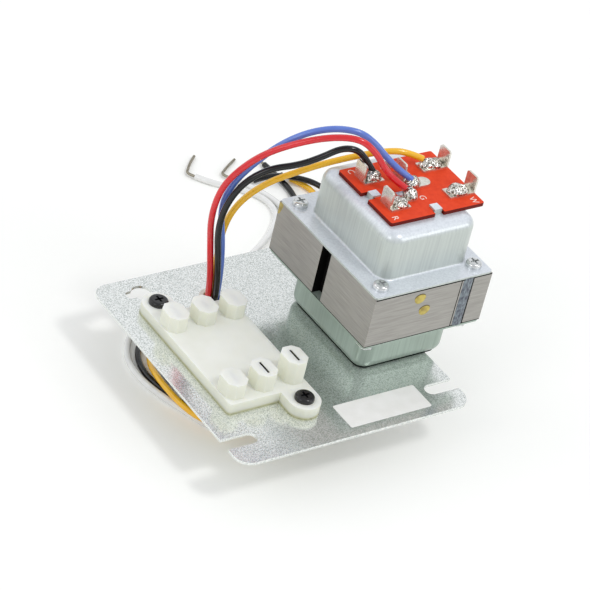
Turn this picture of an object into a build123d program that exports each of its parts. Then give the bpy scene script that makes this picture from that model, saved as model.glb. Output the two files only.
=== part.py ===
"""Fan-control transformer: a laminated transformer and a fan relay on a steel plate that closes a wiring box.

Millimetres, +Z up. The origin is the middle of the mounting plate's underside, +X runs along the
plate's front edge towards the transformer and +Y to the rear.
"""
import os
from math import atan2, degrees, radians, sin, tan
from build123d import *

# Mounting plate
plate_x = 107.0
plate_y = 112.0
plate_t = 1.2
plate_corner_r = 6.5
slot_w = 5.8
slot_depth = 14.2
slot_y = -43.4
keyhole_x = -35.3
keyhole_y = 46.8
keyhole_r = 4.3
keyhole_neck_w = 4.4
keyhole_neck_reach = 7.2

# Transformer core: scrapless E and I laminations, the centre leg runs along X
core_at_x = 39.1
leg = 11.1
core_x = 5 * leg
core_y = 6 * leg
stack = 22.5
core_notch_w = 6.0
core_notch_depth = 4.0
seam_groove_w = 5.2
seam_groove_depth = 0.5
seam_bead_rise = 0.35
bolt_hole_r = 1.95

# Bells: one stamping, used above and below the core
bell_x = 42.4
bell_y = 50.4
bell_shift_x = 1.2
bell_h = 20.8
sheet_t = 0.8
bell_corner_r = 6.0
bell_edge_r = 4.5
draw_r = 1.0
flange_corner_r = 1.6
tab_w = 3.6
tab_fold = 3.8
side_tab_x = -13.5
end_tab_x = 7.0
end_tab_y = 16.8

# Clamp screws and nuts
screw_r = 1.75
screw_head_r = 3.2
screw_head_h = 2.2
screw_tail = 1.6
cross_w = 0.9
cross_reach = 1.9
cross_depth = 1.1
nut_flats = 6.6
nut_h = 2.8

# Coil
coil_clear = 0.2
bobbin_wall = 1.2
primary_build = 4.6
secondary_build = 3.2
wrap_t = 0.4
coil_corner_r = 2.0

# Terminal board
board_x0 = -15.9
board_x = 44.4
board_y = 36.0
board_t = 1.6
board_corner_r = 0.8
side_notch_w = 4.6
end_notch_w = 4.4
notch_gap = 0.5

# Board terminals
tab_width = 6.35
tab_rise = 7.6
tab_t = 0.8
tab_chamfer = 0.7
pad_w = 6.0
pad_past = 3.1
right_pad_past = 6.5
left_tab_x = 27.4
left_eyelet_x = 33.4
right_tab_x = 67.0
right_eyelet_x = 61.9
row_y = 9.0
left_tab_shift_y = 1.6
far_pad_x = 40.6
far_pad_y = -5.4
fan_tab_x = 43.6
fan_tab_y = 6.9
fan_eyelet_x = 46.2
fan_eyelet_y = 0.8
spare_eyelet_x = 51.4
fan_pad_w = 5.4
eyelet_r = 1.6
solder_r = 3.3
solder_h = 2.9
solder_lump_r = 2.9
solder_lump_h = 2.6
solder_lump_step = 3.6

# Bushings: wires in a ring, and one in the middle of the lead bushing
wire_d = 2.6
wire_gap = 0.3
bushing_wall = 0.8
bushing_flange = 0.8
bushing_flange_t = 1.0
jumper_bush_x = -10.3
jumper_bush_y = 34.6
jumper_ring_r = 1.95
lead_ring_r = 2.9

# Relay base
base_at_x = -25.0
base_at_y = -0.8
slab_lip_x = 2.75
slab_lip_y = 2.9
slab_h = 4.8
slab_corner_r = 1.5
ear_reach = 6.2
ear_r = 6.6
window_clear = 0.25
spigot_drop = 1.0
tower_w = 8.8
tower_l = 11.0
tower_chamfer = 2.4
low_tower_h = 6.6
tower_h = 7.6
tall_tower_h = 10.0
tower_roof = 1.0
tower_pitch = 13.3
tower_row = 21.0
tower_shift_x = 0.35
blade_w = 6.35
blade_t = 0.8
blade_clear = 0.12
blade_recess = 2.0
blade_margin = 1.2
blade_end_margin = 1.4
blade_tail = 9.0
relay_screw_r = 1.75
relay_screw_head_r = 3.9
relay_screw_head_h = 1.9
relay_screw_reach = 5.0

# Relay magnet and contacts
relay_x = -20.5
yoke_w = 16.0
yoke_t = 2.0
yoke_back_y = 15.5
yoke_front_y = -11.6
yoke_leg_z = -19.5
yoke_ear_w = 2.2
yoke_ear_y = -15.0
yoke_ear_z = -4.6
stake_r = 1.2
stake_y = 7.0
magnet_z = -11.4
pole_r = 3.5
pole_face_r = 5.0
pole_face_t = 1.5
pole_face_y = -11.0
spool_wall = 0.9
spool_flange_r = 7.9
spool_flange_t = 1.0
spool_coil_r = 7.2
hinge_y = -13.4
hinge_z = -2.9
hinge_pin_r = 0.8
hinge_clear = 0.06
knuckle_r = 1.5
armature_side_gap = 0.2
armature_t = 1.5
armature_gap = 1.2
armature_foot_z = -19.3
arm_reach_y = -18.5
arm_w = 8.0
leaf_t = 0.4
leaf_w = 5.0
leaf_tip_y = -24.2
contact_y = -22.0
contact_r = 1.5
contact_neck_r = 0.8
contact_button_h = 0.5
contact_gap = 0.15
contact_foot_y = 5.0
armature_throw_deg = 4.0
closed_foot_z = -1.8
open_foot_z = -6.6
spring_wire_r = 0.25
spring_r = 5.9
spring_turns = 2.0

# Leads and jumpers
bare_d = 1.2
floor_z = -21.0
lead_z = floor_z + wire_d / 2

# Levels worked out from the sizes above
core_z0 = plate_t + bell_h
core_z1 = core_z0 + stack
board_z0 = core_z1 + bell_h
board_z1 = board_z0 + board_t
pad_z1 = board_z1 + tab_t
slab_z1 = plate_t + slab_h
spigot_z = -spigot_drop
bolt_x = core_x / 2 - leg / 2
bolt_y = core_y / 2 - leg / 2
jumper_bore_r = jumper_ring_r + wire_d / 2 + wire_gap
lead_bore_r = lead_ring_r + wire_d / 2 + wire_gap
blade_column_x = base_at_x + tower_shift_x
blade_rear_y = base_at_y + tower_row + blade_w / 2
window_x = 2 * (tower_pitch + tower_shift_x + blade_t / 2 + blade_margin)
window_y = 2 * (tower_row + blade_w / 2 + blade_end_margin)
slab_x = window_x + 2 * slab_lip_x
slab_y = window_y + 2 * slab_lip_y
ear_at_x = slab_x / 2 - ear_r
ear_at_y = slab_y / 2 + ear_reach


def block(x0, x1, y0, y1, z0, z1):
    """A box between two corners."""
    return Pos(x0, y0, z0) * Box(x1 - x0, y1 - y0, z1 - z0, align=(Align.MIN, Align.MIN, Align.MIN))


def rod_z(x, y, z0, z1, r):
    """An upright cylinder."""
    return Pos(x, y, z0) * Cylinder(r, z1 - z0, align=(Align.CENTER, Align.CENTER, Align.MIN))


def rod_y(x, z, y0, y1, r):
    """A cylinder along Y."""
    return Pos(x, y1, z) * Rot(90, 0, 0) * Cylinder(r, y1 - y0, align=(Align.CENTER, Align.CENTER, Align.MIN))


def rod_x(y, z, x0, x1, r):
    """A cylinder along X."""
    return Pos(x0, y, z) * Rot(0, 90, 0) * Cylinder(r, x1 - x0, align=(Align.CENTER, Align.CENTER, Align.MIN))


def slab(width, length, r, height):
    """A rounded rectangle in plan, raised from z = 0."""
    return extrude(RectangleRounded(width, length, r), height)


def at_level(shape, z):
    """The edges of a shape that lie in one level plane."""
    return shape.edges().filter_by_position(Axis.Z, z - 0.01, z + 0.01)


def bell(grip):
    """One bell: flange on z = 0, drawn cup, bolt and lead holes, three tabs folded over a sheet of grip."""
    cup = slab(bell_x, bell_y, bell_corner_r, bell_h)
    cup = Pos(bell_shift_x, 0, 0) * fillet(at_level(cup, bell_h), bell_edge_r)
    body = slab(core_x, core_y, flange_corner_r, sheet_t) + cup
    foot = [
        e
        for e in at_level(body, sheet_t)
        if abs(e.center().X - bell_shift_x) < bell_x / 2 + draw_r / 2
        and abs(e.center().Y) < bell_y / 2 + draw_r / 2
    ]
    body = fillet(foot, draw_r)
    room = slab(bell_x - 2 * sheet_t, bell_y - 2 * sheet_t, bell_corner_r - sheet_t, bell_h - sheet_t)
    body -= Pos(bell_shift_x, 0, 0) * fillet(at_level(room, bell_h - sheet_t), bell_edge_r - sheet_t)
    for sx in (-1, 1):
        for sy in (-1, 1):
            body -= rod_z(sx * bolt_x, sy * bolt_y, -1, bell_h, bolt_hole_r)
    body -= rod_z(0, 0, 0, bell_h + 1, lead_bore_r + bushing_wall)
    low = bell_h - sheet_t
    fold = bell_h + grip
    stem = block(side_tab_x, side_tab_x + sheet_t, -tab_w / 2, tab_w / 2, low, fold + sheet_t)
    body += stem + block(side_tab_x, side_tab_x + tab_fold, -tab_w / 2, tab_w / 2, fold, fold + sheet_t)
    for side in (-1, 1):
        y_out = side * end_tab_y
        y_stem = side * (end_tab_y - sheet_t)
        y_tip = side * (end_tab_y - tab_fold)
        x0, x1 = end_tab_x - tab_w / 2, end_tab_x + tab_w / 2
        body += block(x0, x1, min(y_out, y_stem), max(y_out, y_stem), low, fold + sheet_t)
        body += block(x0, x1, min(y_out, y_tip), max(y_out, y_tip), fold, fold + sheet_t)
    return body


def upper_bell():
    """The bell above the core, which carries the terminal board."""
    return Pos(core_at_x, 0, core_z1) * bell(board_t)


def lower_bell():
    """The same stamping turned over about Y's axis line, so its tabs fold under the plate."""
    return Pos(core_at_x, 0, core_z0) * Rot(180, 0, 0) * bell(plate_t)


def tab_slots(cutter_z0, cutter_z1):
    """Cutters for the slots that the lower bell's tabs pass through."""
    x0 = core_at_x + side_tab_x
    cut = block(x0 - notch_gap, x0 + sheet_t + notch_gap, -tab_w / 2 - notch_gap, tab_w / 2 + notch_gap,
                cutter_z0, cutter_z1)
    for side in (-1, 1):
        y = side * (end_tab_y - sheet_t / 2)
        half = sheet_t / 2 + notch_gap
        x_mid = core_at_x + end_tab_x
        reach = tab_w / 2 + notch_gap
        cut += block(x_mid - reach, x_mid + reach, y - half, y + half, cutter_z0, cutter_z1)
    return cut


def mounting_plate():
    """The flat galvanised plate: keyhole, two open slots, relay window, bushing holes and tab slots."""
    plate = slab(plate_x, plate_y, plate_corner_r, plate_t)
    low, high = -1, plate_t + 1
    for side in (-1, 1):
        inner = side * (plate_x / 2 - slot_depth + slot_w / 2)
        edge = side * (plate_x / 2 + 1)
        plate -= rod_z(inner, slot_y, low, high, slot_w / 2)
        plate -= block(min(inner, edge), max(inner, edge), slot_y - slot_w / 2, slot_y + slot_w / 2, low, high)
    plate -= rod_z(keyhole_x, keyhole_y, low, high, keyhole_r)
    neck_x = keyhole_x - keyhole_neck_reach + keyhole_neck_w / 2
    plate -= rod_z(neck_x, keyhole_y, low, high, keyhole_neck_w / 2)
    plate -= block(neck_x, keyhole_x, keyhole_y - keyhole_neck_w / 2, keyhole_y + keyhole_neck_w / 2, low, high)
    plate -= Pos(base_at_x, base_at_y, low) * slab(window_x, window_y, slab_corner_r, high - low)
    for side in (-1, 1):
        plate -= rod_z(base_at_x - side * ear_at_x, base_at_y + side * ear_at_y, low, high,
                       relay_screw_r + hinge_clear)
    plate -= rod_z(jumper_bush_x, jumper_bush_y, low, high, jumper_bore_r + bushing_wall)
    plate -= rod_z(core_at_x, 0, low, high, lead_bore_r + bushing_wall)
    return plate - tab_slots(low, high)


def bushing(x, y, bore_r, top_z):
    """A nylon bushing: barrel through the sheets, a flange under the plate and one above the top sheet."""
    barrel_r = bore_r + bushing_wall
    body = rod_z(x, y, -bushing_flange_t, top_z + bushing_flange_t, barrel_r)
    body += rod_z(x, y, -bushing_flange_t, 0, barrel_r + bushing_flange)
    body += rod_z(x, y, top_z, top_z + bushing_flange_t, barrel_r + bushing_flange)
    return body - rod_z(x, y, -bushing_flange_t - 1, top_z + bushing_flange_t + 1, bore_r)


def bolt_cutters():
    """Cutters for the four clamp-screw holes."""
    cut = []
    for sx in (-1, 1):
        for sy in (-1, 1):
            cut.append(rod_z(core_at_x + sx * bolt_x, sy * bolt_y, core_z0 - 1, core_z1 + 1, bolt_hole_r))
    return cut


def seam_cutters():
    """Cutters for the shallow groove along each welded seam between the E and I stacks."""
    seam_x = core_at_x + core_x / 2 - leg
    x0, x1 = seam_x - seam_groove_w / 2, seam_x + seam_groove_w / 2
    inner = core_y / 2 - seam_groove_depth
    front = block(x0, x1, -core_y / 2 - 1, -inner, core_z0 - 1, core_z1 + 1)
    rear = block(x0, x1, inner, core_y / 2 + 1, core_z0 - 1, core_z1 + 1)
    return [front, rear]


def e_laminations():
    """The E stack: back with its notch, centre leg and two outer legs."""
    x0 = core_at_x - core_x / 2
    x1 = core_at_x + core_x / 2 - leg
    body = block(x0, x1, -core_y / 2, core_y / 2, core_z0, core_z1)
    for side in (-1, 1):
        y_in, y_out = side * leg, side * 2 * leg
        body -= block(x0 + leg, x1 + 1, min(y_in, y_out), max(y_in, y_out), core_z0 - 1, core_z1 + 1)
    body -= block(x0 - 1, x0 + core_notch_depth, -core_notch_w / 2, core_notch_w / 2, core_z0 - 1, core_z1 + 1)
    for cut in bolt_cutters() + seam_cutters():
        body -= cut
    return body


def i_laminations():
    """The I stack that closes the windows."""
    x1 = core_at_x + core_x / 2
    body = block(x1 - leg, x1, -core_y / 2, core_y / 2, core_z0, core_z1)
    for cut in bolt_cutters() + seam_cutters():
        body -= cut
    return body


def weld_beads():
    """Two weld beads that lie in the seam grooves, each a shallow crowned strip."""
    seam_x = core_at_x + core_x / 2 - leg
    half = seam_groove_w / 2
    floor_y = core_y / 2 - seam_groove_depth
    rim = core_y / 2 - seam_groove_depth / 2
    beads = []
    for side in (-1, 1):
        with BuildSketch(Plane.XY.offset(core_z0)) as section:
            with BuildLine():
                Polyline(
                    (seam_x + half, side * rim),
                    (seam_x + half, side * floor_y),
                    (seam_x - half, side * floor_y),
                    (seam_x - half, side * rim),
                )
                ThreePointArc(
                    (seam_x - half, side * rim),
                    (seam_x, side * (core_y / 2 + seam_bead_rise)),
                    (seam_x + half, side * rim),
                )
            make_face()
        beads.append(extrude(section.sketch, stack, dir=(0, 0, 1)))
    return Compound(children=beads)


def coil_ring(inner, outer, x0, x1):
    """A rectangular ring around the centre leg, between two builds over the leg."""
    def loop(build):
        return RectangleRounded(2 * leg + 2 * build, stack + 2 * build, min(coil_corner_r, build))
    section = Plane(origin=(x0, 0, (core_z0 + core_z1) / 2), x_dir=(0, 1, 0), z_dir=(1, 0, 0))
    return extrude(section * (loop(outer) - loop(inner)), x1 - x0)


def coil_span():
    """The coil's ends along X, inside the core's windows."""
    return core_at_x - core_x / 2 + leg + coil_clear, core_at_x + core_x / 2 - leg - coil_clear


def coil_bobbin():
    """The spool on the centre leg: a tube and two end flanges."""
    x0, x1 = coil_span()
    out = coil_clear + bobbin_wall + primary_build + secondary_build + wrap_t
    body = coil_ring(coil_clear, coil_clear + bobbin_wall, x0, x1)
    body += coil_ring(coil_clear, out, x0, x0 + bobbin_wall)
    return body + coil_ring(coil_clear, out, x1 - bobbin_wall, x1)


def coil_layer(start, build):
    """One layer of the coil between the spool's flanges."""
    x0, x1 = coil_span()
    inner = coil_clear + bobbin_wall + start
    return coil_ring(inner, inner + build, x0 + bobbin_wall, x1 - bobbin_wall)


def cross_recess(x, y, top):
    """Cutter for the cross recess in a screw head."""
    half, reach = cross_w / 2, cross_reach
    cut = block(x - reach, x + reach, y - half, y + half, top - cross_depth, top + 1)
    return cut + block(x - half, x + half, y - reach, y + reach, top - cross_depth, top + 1)


def clamp_screws():
    """Four pan-head screws with cross recesses through flanges and core."""
    screws = []
    top = core_z1 + sheet_t
    tail = core_z0 - sheet_t - nut_h - screw_tail
    for sx in (-1, 1):
        for sy in (-1, 1):
            x, y = core_at_x + sx * bolt_x, sy * bolt_y
            head = rod_z(x, y, top, top + screw_head_h, screw_head_r)
            head = fillet(at_level(head, top + screw_head_h), screw_head_h * 0.6)
            head -= cross_recess(x, y, top + screw_head_h)
            screws.append(head + rod_z(x, y, tail, top, screw_r))
    return Compound(children=screws)


def clamp_nuts():
    """Four hexagon nuts under the lower flange."""
    nuts = []
    top = core_z0 - sheet_t
    for sx in (-1, 1):
        for sy in (-1, 1):
            at = Pos(core_at_x + sx * bolt_x, sy * bolt_y, top - nut_h)
            hexagon = RegularPolygon(nut_flats / 2, 6, major_radius=False, rotation=30)
            nuts.append(at * extrude(hexagon - Circle(screw_r), nut_h))
    return Compound(children=nuts)


def eyelet_places():
    """Plan places of the board's eyelets."""
    return [
        (left_eyelet_x, row_y),
        (left_eyelet_x, -row_y),
        (far_pad_x, far_pad_y),
        (fan_eyelet_x, fan_eyelet_y),
        (spare_eyelet_x, fan_eyelet_y),
        (right_eyelet_x, row_y),
        (right_eyelet_x, -row_y),
    ]


def solder_places():
    """Plan places of the solder joints: every eyelet but the spare one."""
    return [place for place in eyelet_places() if place[0] != spare_eyelet_x]


def terminal_board():
    """The fibre board on the upper bell, with three notches for the bell's tabs and the eyelet holes."""
    x0 = core_at_x + board_x0
    low, high = board_z0 - 1, board_z1 + 1
    body = Pos(x0 + board_x / 2, 0, board_z0) * slab(board_x, board_y, board_corner_r, board_t)
    side_end = core_at_x + side_tab_x + sheet_t
    body -= block(x0 - 1, side_end, -side_notch_w / 2, side_notch_w / 2, low, high)
    x_mid = core_at_x + end_tab_x
    for side in (-1, 1):
        y_in, y_out = side * (end_tab_y - sheet_t), side * (board_y / 2 + 1)
        x_low, x_high = x_mid - end_notch_w / 2, x_mid + end_notch_w / 2
        body -= block(x_low, x_high, min(y_in, y_out), max(y_in, y_out), low, high)
    for x, y in eyelet_places():
        body -= rod_z(x, y, low, high, eyelet_r)
    return body


def upright_tab(x0, y):
    """A quarter-inch tab that stands on the board, normal to X, with its top corners cut."""
    tab = block(x0, x0 + tab_t, y - tab_width / 2, y + tab_width / 2, board_z1, board_z1 + tab_rise)
    return chamfer(at_level(tab, board_z1 + tab_rise).filter_by(Axis.X), tab_chamfer)


def row_terminal(tab_x, inward, y, end_x):
    """A terminal of the outer columns: a flat pad with its tab turned up at the board's edge."""
    x0, x1 = min(tab_x, end_x), max(tab_x, end_x)
    pad = block(x0, x1, y - pad_w / 2, y + pad_w / 2, board_z1, pad_z1)
    if inward > 0:
        body = pad + upright_tab(tab_x, y + left_tab_shift_y)
    else:
        body = pad + upright_tab(tab_x - tab_t, y)
    for x, eyelet_y in eyelet_places():
        if eyelet_y == y and x0 < x < x1:
            body -= rod_z(x, y, board_z1 - 1, pad_z1 + 1, eyelet_r)
    return body


def terminal_c():
    """Left column, rear."""
    return row_terminal(left_tab_x, 1, row_y, left_eyelet_x + pad_past)


def terminal_r():
    """Left column, front, with a second pad further in that takes the red jumper."""
    body = row_terminal(left_tab_x, 1, -row_y, left_eyelet_x + pad_past)
    half = pad_past
    start = left_eyelet_x + 0.7 * pad_past
    body += block(start, far_pad_x, far_pad_y - half, far_pad_y + half, board_z1, pad_z1)
    body += rod_z(far_pad_x, far_pad_y, board_z1, pad_z1, half)
    return body - rod_z(far_pad_x, far_pad_y, board_z1 - 1, pad_z1 + 1, eyelet_r)


def terminal_y():
    """Right column, rear."""
    return row_terminal(right_tab_x, -1, row_y, right_eyelet_x - right_pad_past)


def terminal_w():
    """Right column, front."""
    return row_terminal(right_tab_x, -1, -row_y, right_eyelet_x - right_pad_past)


def terminal_g():
    """The middle terminal: its tab stands on the long side of its strip, and a lobe holds the spare eyelet."""
    y0 = fan_eyelet_y - fan_pad_w / 2
    body = block(fan_tab_x, fan_tab_x + fan_pad_w, y0, fan_tab_y + tab_width / 2, board_z1, pad_z1)
    body += block(fan_tab_x, spare_eyelet_x, y0, y0 + fan_pad_w, board_z1, pad_z1)
    body += rod_z(spare_eyelet_x, fan_eyelet_y, board_z1, pad_z1, fan_pad_w / 2)
    body += upright_tab(fan_tab_x, fan_tab_y)
    for x in (fan_eyelet_x, spare_eyelet_x):
        body -= rod_z(x, fan_eyelet_y, board_z1 - 1, pad_z1 + 1, eyelet_r)
    return body


def board_eyelets():
    """Eyelets that rivet the terminals to the board, flush with the pads."""
    return Compound(children=[rod_z(x, y, board_z0, pad_z1, eyelet_r) for x, y in eyelet_places()])


def solder_cap(x, y, r, h):
    """A spherical cap of solder on a pad."""
    cap_r = (r ** 2 + h ** 2) / (2 * h)
    ball = Pos(x, y, pad_z1 + h - cap_r) * Sphere(cap_r)
    return ball & block(x - cap_r, x + cap_r, y - cap_r, y + cap_r, pad_z1, pad_z1 + h + 1)


def solder_joints():
    """Solder mounds over the eyelets: a cap on each pad, with lower lumps run out along the row terminals."""
    mounds = []
    for x, y in solder_places():
        mound = solder_cap(x, y, solder_r, solder_h)
        if x == right_eyelet_x:
            mound += solder_cap(x - solder_lump_step, y, solder_lump_r, solder_lump_h)
            mound += solder_cap(x + 0.38 * solder_lump_step, y, solder_lump_r, solder_lump_h)
        if x == left_eyelet_x:
            mound += solder_cap(x - 0.6 * solder_lump_step, y, solder_lump_r, solder_lump_h)
        mounds.append(mound)
    return Compound(children=mounds)


def blade_places():
    """Plan place, tower height and roof of each relay blade, by name. Only two towers are open at the top."""
    low = (low_tower_h, tower_roof)
    tops = {"front_left": low, "front_middle": (tower_h, 0), "front_right": (tall_tower_h, 0)}
    places = {}
    for row, sy in (("front", -1), ("rear", 1)):
        for column, sx in (("left", -1), ("middle", 0), ("right", 1)):
            name = row + "_" + column
            x = blade_column_x + sx * tower_pitch
            places[name] = (x, base_at_y + sy * tower_row, *tops.get(name, low))
    return places


def relay_base():
    """The nylon base: slab with two screw ears, six blade towers, spigot in the window and two stakes."""
    body = Pos(base_at_x, base_at_y, plate_t) * slab(slab_x, slab_y, slab_corner_r, slab_h)
    for side in (-1, 1):
        x, y = base_at_x - side * ear_at_x, base_at_y + side * ear_at_y
        body += rod_z(x, y, plate_t, slab_z1, ear_r)
        body += block(x - ear_r, x + ear_r, min(y, base_at_y), max(y, base_at_y), plate_t, slab_z1)
    gap = 2 * window_clear
    spigot = slab(window_x - gap, window_y - gap, slab_corner_r, plate_t + spigot_drop)
    body += Pos(base_at_x, base_at_y, spigot_z) * spigot
    for x, y, height, roof in blade_places().values():
        foot = Rectangle(tower_w, tower_l)
        tower = extrude(chamfer(foot.vertices(), tower_chamfer), slab_h + height)
        body += Pos(x, y, plate_t) * tower
    for x, y, height, roof in blade_places().values():
        half_t = blade_t / 2 + blade_clear
        half_w = blade_w / 2 + blade_clear
        slot_top = slab_z1 + height - roof if roof else slab_z1 + height + 1
        body -= block(x - half_t, x + half_t, y - half_w, y + half_w, spigot_z - 1, slot_top)
    for side in (-1, 1):
        x, y = base_at_x - side * ear_at_x, base_at_y + side * ear_at_y
        body -= rod_z(x, y, plate_t - 1, slab_z1 + 1, relay_screw_r + hinge_clear)
    for y in (-stake_y, stake_y):
        body += rod_z(relay_x, y, spigot_z - yoke_t, spigot_z, stake_r)
    return body


def relay_screws():
    """Two black pan-head screws with cross recesses that hold the base to the plate."""
    screws = []
    for side in (-1, 1):
        x, y = base_at_x - side * ear_at_x, base_at_y + side * ear_at_y
        top = slab_z1 + relay_screw_head_h
        head = rod_z(x, y, slab_z1, top, relay_screw_head_r)
        head = fillet(at_level(head, top), relay_screw_head_h * 0.6) - cross_recess(x, y, top)
        screws.append(head + rod_z(x, y, -relay_screw_reach, slab_z1, relay_screw_r))
    return Compound(children=screws)


def straight_blade(name, tail_z):
    """A blade in its tower, down to a tail below the base."""
    x, y, height, roof = blade_places()[name]
    top = slab_z1 + height - roof - blade_recess
    return block(x - blade_t / 2, x + blade_t / 2, y - blade_w / 2, y + blade_w / 2, tail_z, top)


def contact_blade(name, foot_z, end_x):
    """A blade whose lower end turns sideways into a foot that carries a fixed contact."""
    x, y, height, roof = blade_places()[name]
    y0, y1 = contact_y - contact_foot_y / 2, contact_y + contact_foot_y / 2
    foot = block(min(x - blade_t / 2, end_x), max(x + blade_t / 2, end_x), y0, y1, foot_z - blade_t, foot_z)
    return straight_blade(name, foot_z - blade_t) + foot


def relay_yoke():
    """The bent iron frame: top leg under the base, rear leg for the pole, two ears for the hinge pin."""
    x0, x1 = relay_x - yoke_w / 2, relay_x + yoke_w / 2
    body = block(x0, x1, yoke_front_y, yoke_back_y, spigot_z - yoke_t, spigot_z)
    body += block(x0, x1, yoke_back_y - yoke_t, yoke_back_y, yoke_leg_z, spigot_z)
    for inner, outer in ((x0 + yoke_ear_w, x0), (x1 - yoke_ear_w, x1)):
        body += block(min(inner, outer), max(inner, outer), yoke_ear_y, yoke_front_y, yoke_ear_z, spigot_z)
    body -= rod_x(hinge_y, hinge_z, x0 - 1, x1 + 1, hinge_pin_r)
    body -= rod_y(relay_x, magnet_z, yoke_back_y - yoke_t - 1, yoke_back_y + 1, pole_r)
    for y in (-stake_y, stake_y):
        body -= rod_z(relay_x, y, spigot_z - yoke_t - 1, spigot_z + 1, stake_r)
    return body


def relay_pole():
    """The iron pole, staked in the rear leg, with its wider face at the armature."""
    body = rod_y(relay_x, magnet_z, pole_face_y, yoke_back_y, pole_r)
    return body + rod_y(relay_x, magnet_z, pole_face_y, pole_face_y + pole_face_t, pole_face_r)


def spool_span():
    """The relay spool's ends along Y, between the pole's face and the yoke's rear leg."""
    return pole_face_y + pole_face_t + coil_clear / 2, yoke_back_y - yoke_t - coil_clear


def relay_spool():
    """The coil former on the pole."""
    y0, y1 = spool_span()
    tube_r = pole_r + coil_clear / 2 + spool_wall
    body = rod_y(relay_x, magnet_z, y0, y1, tube_r)
    body += rod_y(relay_x, magnet_z, y0, y0 + spool_flange_t, spool_flange_r)
    body += rod_y(relay_x, magnet_z, y1 - spool_flange_t, y1, spool_flange_r)
    return body - rod_y(relay_x, magnet_z, y0 - 1, y1 + 1, pole_r + coil_clear / 2)


def relay_winding():
    """The relay's turns, between the former's flanges."""
    y0, y1 = spool_span()
    y0, y1 = y0 + spool_flange_t, y1 - spool_flange_t
    tube_r = pole_r + coil_clear / 2 + spool_wall
    return rod_y(relay_x, magnet_z, y0, y1, spool_coil_r) - rod_y(relay_x, magnet_z, y0 - 1, y1 + 1, tube_r)


def armature_pin():
    """The hinge pin between the yoke's ears."""
    return rod_x(hinge_y, hinge_z, relay_x - yoke_w / 2, relay_x + yoke_w / 2, hinge_pin_r)


def relay_armature():
    """The clapper: knuckle on the pin, flat leg before the pole and a short arm for the contact leaf."""
    half = yoke_w / 2 - yoke_ear_w - armature_side_gap
    x0, x1 = relay_x - half, relay_x + half
    face_y = pole_face_y - armature_gap
    body = rod_x(hinge_y, hinge_z, x0, x1, knuckle_r)
    body += block(x0, x1, face_y - armature_t, face_y, armature_foot_z, hinge_z)
    arm_z = hinge_z - armature_t
    body += block(relay_x - arm_w / 2, relay_x + arm_w / 2, arm_reach_y, hinge_y, arm_z, hinge_z)
    return body - rod_x(hinge_y, hinge_z, x0 - 1, x1 + 1, hinge_pin_r + hinge_clear)


def leaf_z():
    """The contact leaf's upper face, against the arm's underside."""
    return hinge_z - armature_t


def contact_leaf():
    """The springy strip under the arm that carries the moving contact."""
    top = leaf_z()
    face_y = pole_face_y - armature_gap - armature_t
    body = block(relay_x - leaf_w / 2, relay_x + leaf_w / 2, leaf_tip_y, face_y, top - leaf_t, top)
    return body - rod_z(relay_x, contact_y, top - leaf_t - 1, top + 1, contact_neck_r)


def moving_contact():
    """The double-faced contact rivet at the leaf's tip."""
    top = leaf_z()
    body = rod_z(relay_x, contact_y, top - leaf_t, top, contact_neck_r)
    body += rod_z(relay_x, contact_y, top, top + contact_button_h, contact_r)
    return body + rod_z(relay_x, contact_y, top - leaf_t - contact_button_h, top - leaf_t, contact_r)


def fixed_contacts():
    """The two fixed contacts: one above the moving contact, closed at rest, and one below it."""
    rest_top = leaf_z() + contact_button_h
    rest_low = leaf_z() - leaf_t - contact_button_h
    reach = hinge_y - contact_y + contact_r
    drop = reach * sin(radians(armature_throw_deg))
    upper = rod_z(relay_x, contact_y, rest_top + contact_gap, closed_foot_z - blade_t, contact_r)
    lower = rod_z(relay_x, contact_y, open_foot_z, rest_low - drop - contact_gap, contact_r)
    return Compound(children=[upper, lower])


def return_spring():
    """The compression spring round the pole's face that pushes the armature back."""
    y0, _ = spool_span()
    start = y0 - spring_wire_r
    end = pole_face_y - armature_gap + spring_wire_r
    coil = Helix((start - end) / spring_turns, start - end, spring_r)
    path = Pos(relay_x, start, magnet_z) * Rot(90, 0, 0) * coil
    section = Plane(origin=path @ 0, z_dir=path % 0) * Circle(spring_wire_r)
    return sweep(section, path=path, is_frenet=True)


def ring_place(x, y, r, angle):
    """A wire's place in a bushing, on the ring of its neighbours."""
    turn = Vector(r, 0, 0).rotate(Axis.Z, angle)
    return (x + turn.X, y + turn.Y)


# Wire places in the bushings
red_hole = ring_place(jumper_bush_x, jumper_bush_y, jumper_ring_r, 180)
black_hole = ring_place(jumper_bush_x, jumper_bush_y, jumper_ring_r, 270)
blue_hole = ring_place(jumper_bush_x, jumper_bush_y, jumper_ring_r, 0)
yellow_hole = ring_place(jumper_bush_x, jumper_bush_y, jumper_ring_r, 90)
white_b_hole = ring_place(core_at_x, 0, lead_ring_r, 180)
black_a_hole = ring_place(core_at_x, 0, lead_ring_r, 240)
yellow_lead_hole = ring_place(core_at_x, 0, lead_ring_r, 300)
white_a_hole = ring_place(core_at_x, 0, lead_ring_r, 0)
red_end_hole = ring_place(core_at_x, 0, lead_ring_r, 60)
black_end_hole = ring_place(core_at_x, 0, lead_ring_r, 120)
black_b_hole = (core_at_x, 0)

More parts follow.
